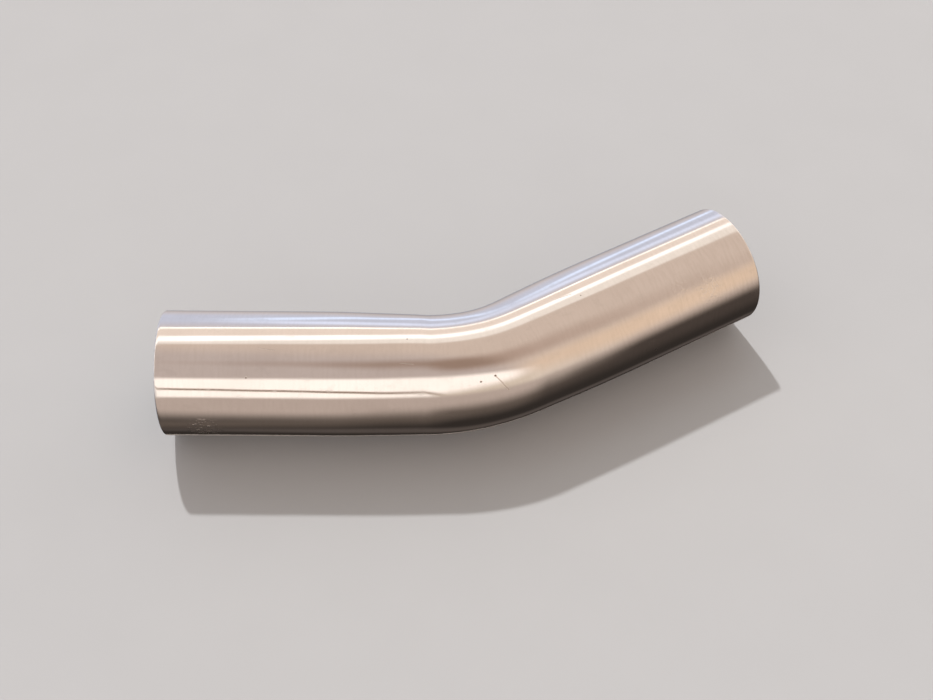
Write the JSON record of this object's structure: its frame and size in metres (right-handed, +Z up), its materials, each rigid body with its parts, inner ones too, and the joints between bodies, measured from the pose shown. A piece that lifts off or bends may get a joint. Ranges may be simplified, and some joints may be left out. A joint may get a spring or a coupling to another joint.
{
  "type": "flue elbow",
  "caption": "Plain-ended bent steel flue tube: one mandrel bend between straight legs, made of rolled strip with a flush lengthwise seam weld.",
  "frame": {"origin": "centre of the bounding box, on the plane that the tube lies on", "axes": "+X along the chord from one open end to the other, +Y from the outer side of the bend towards its inner side, +Z up, square to the plane of the bend"},
  "size_m": [0.2552, 0.0796, 0.0508],
  "materials": {
    "tube_wall": "semi-polished stainless steel with fine lengthwise drawing marks",
    "seam": "weld dressed flush with a finer polish"
  },
  "bodies": {
    "root": {"tube": "tube_wall", "seam_weld": "seam"}
  },
  "joints": []
}
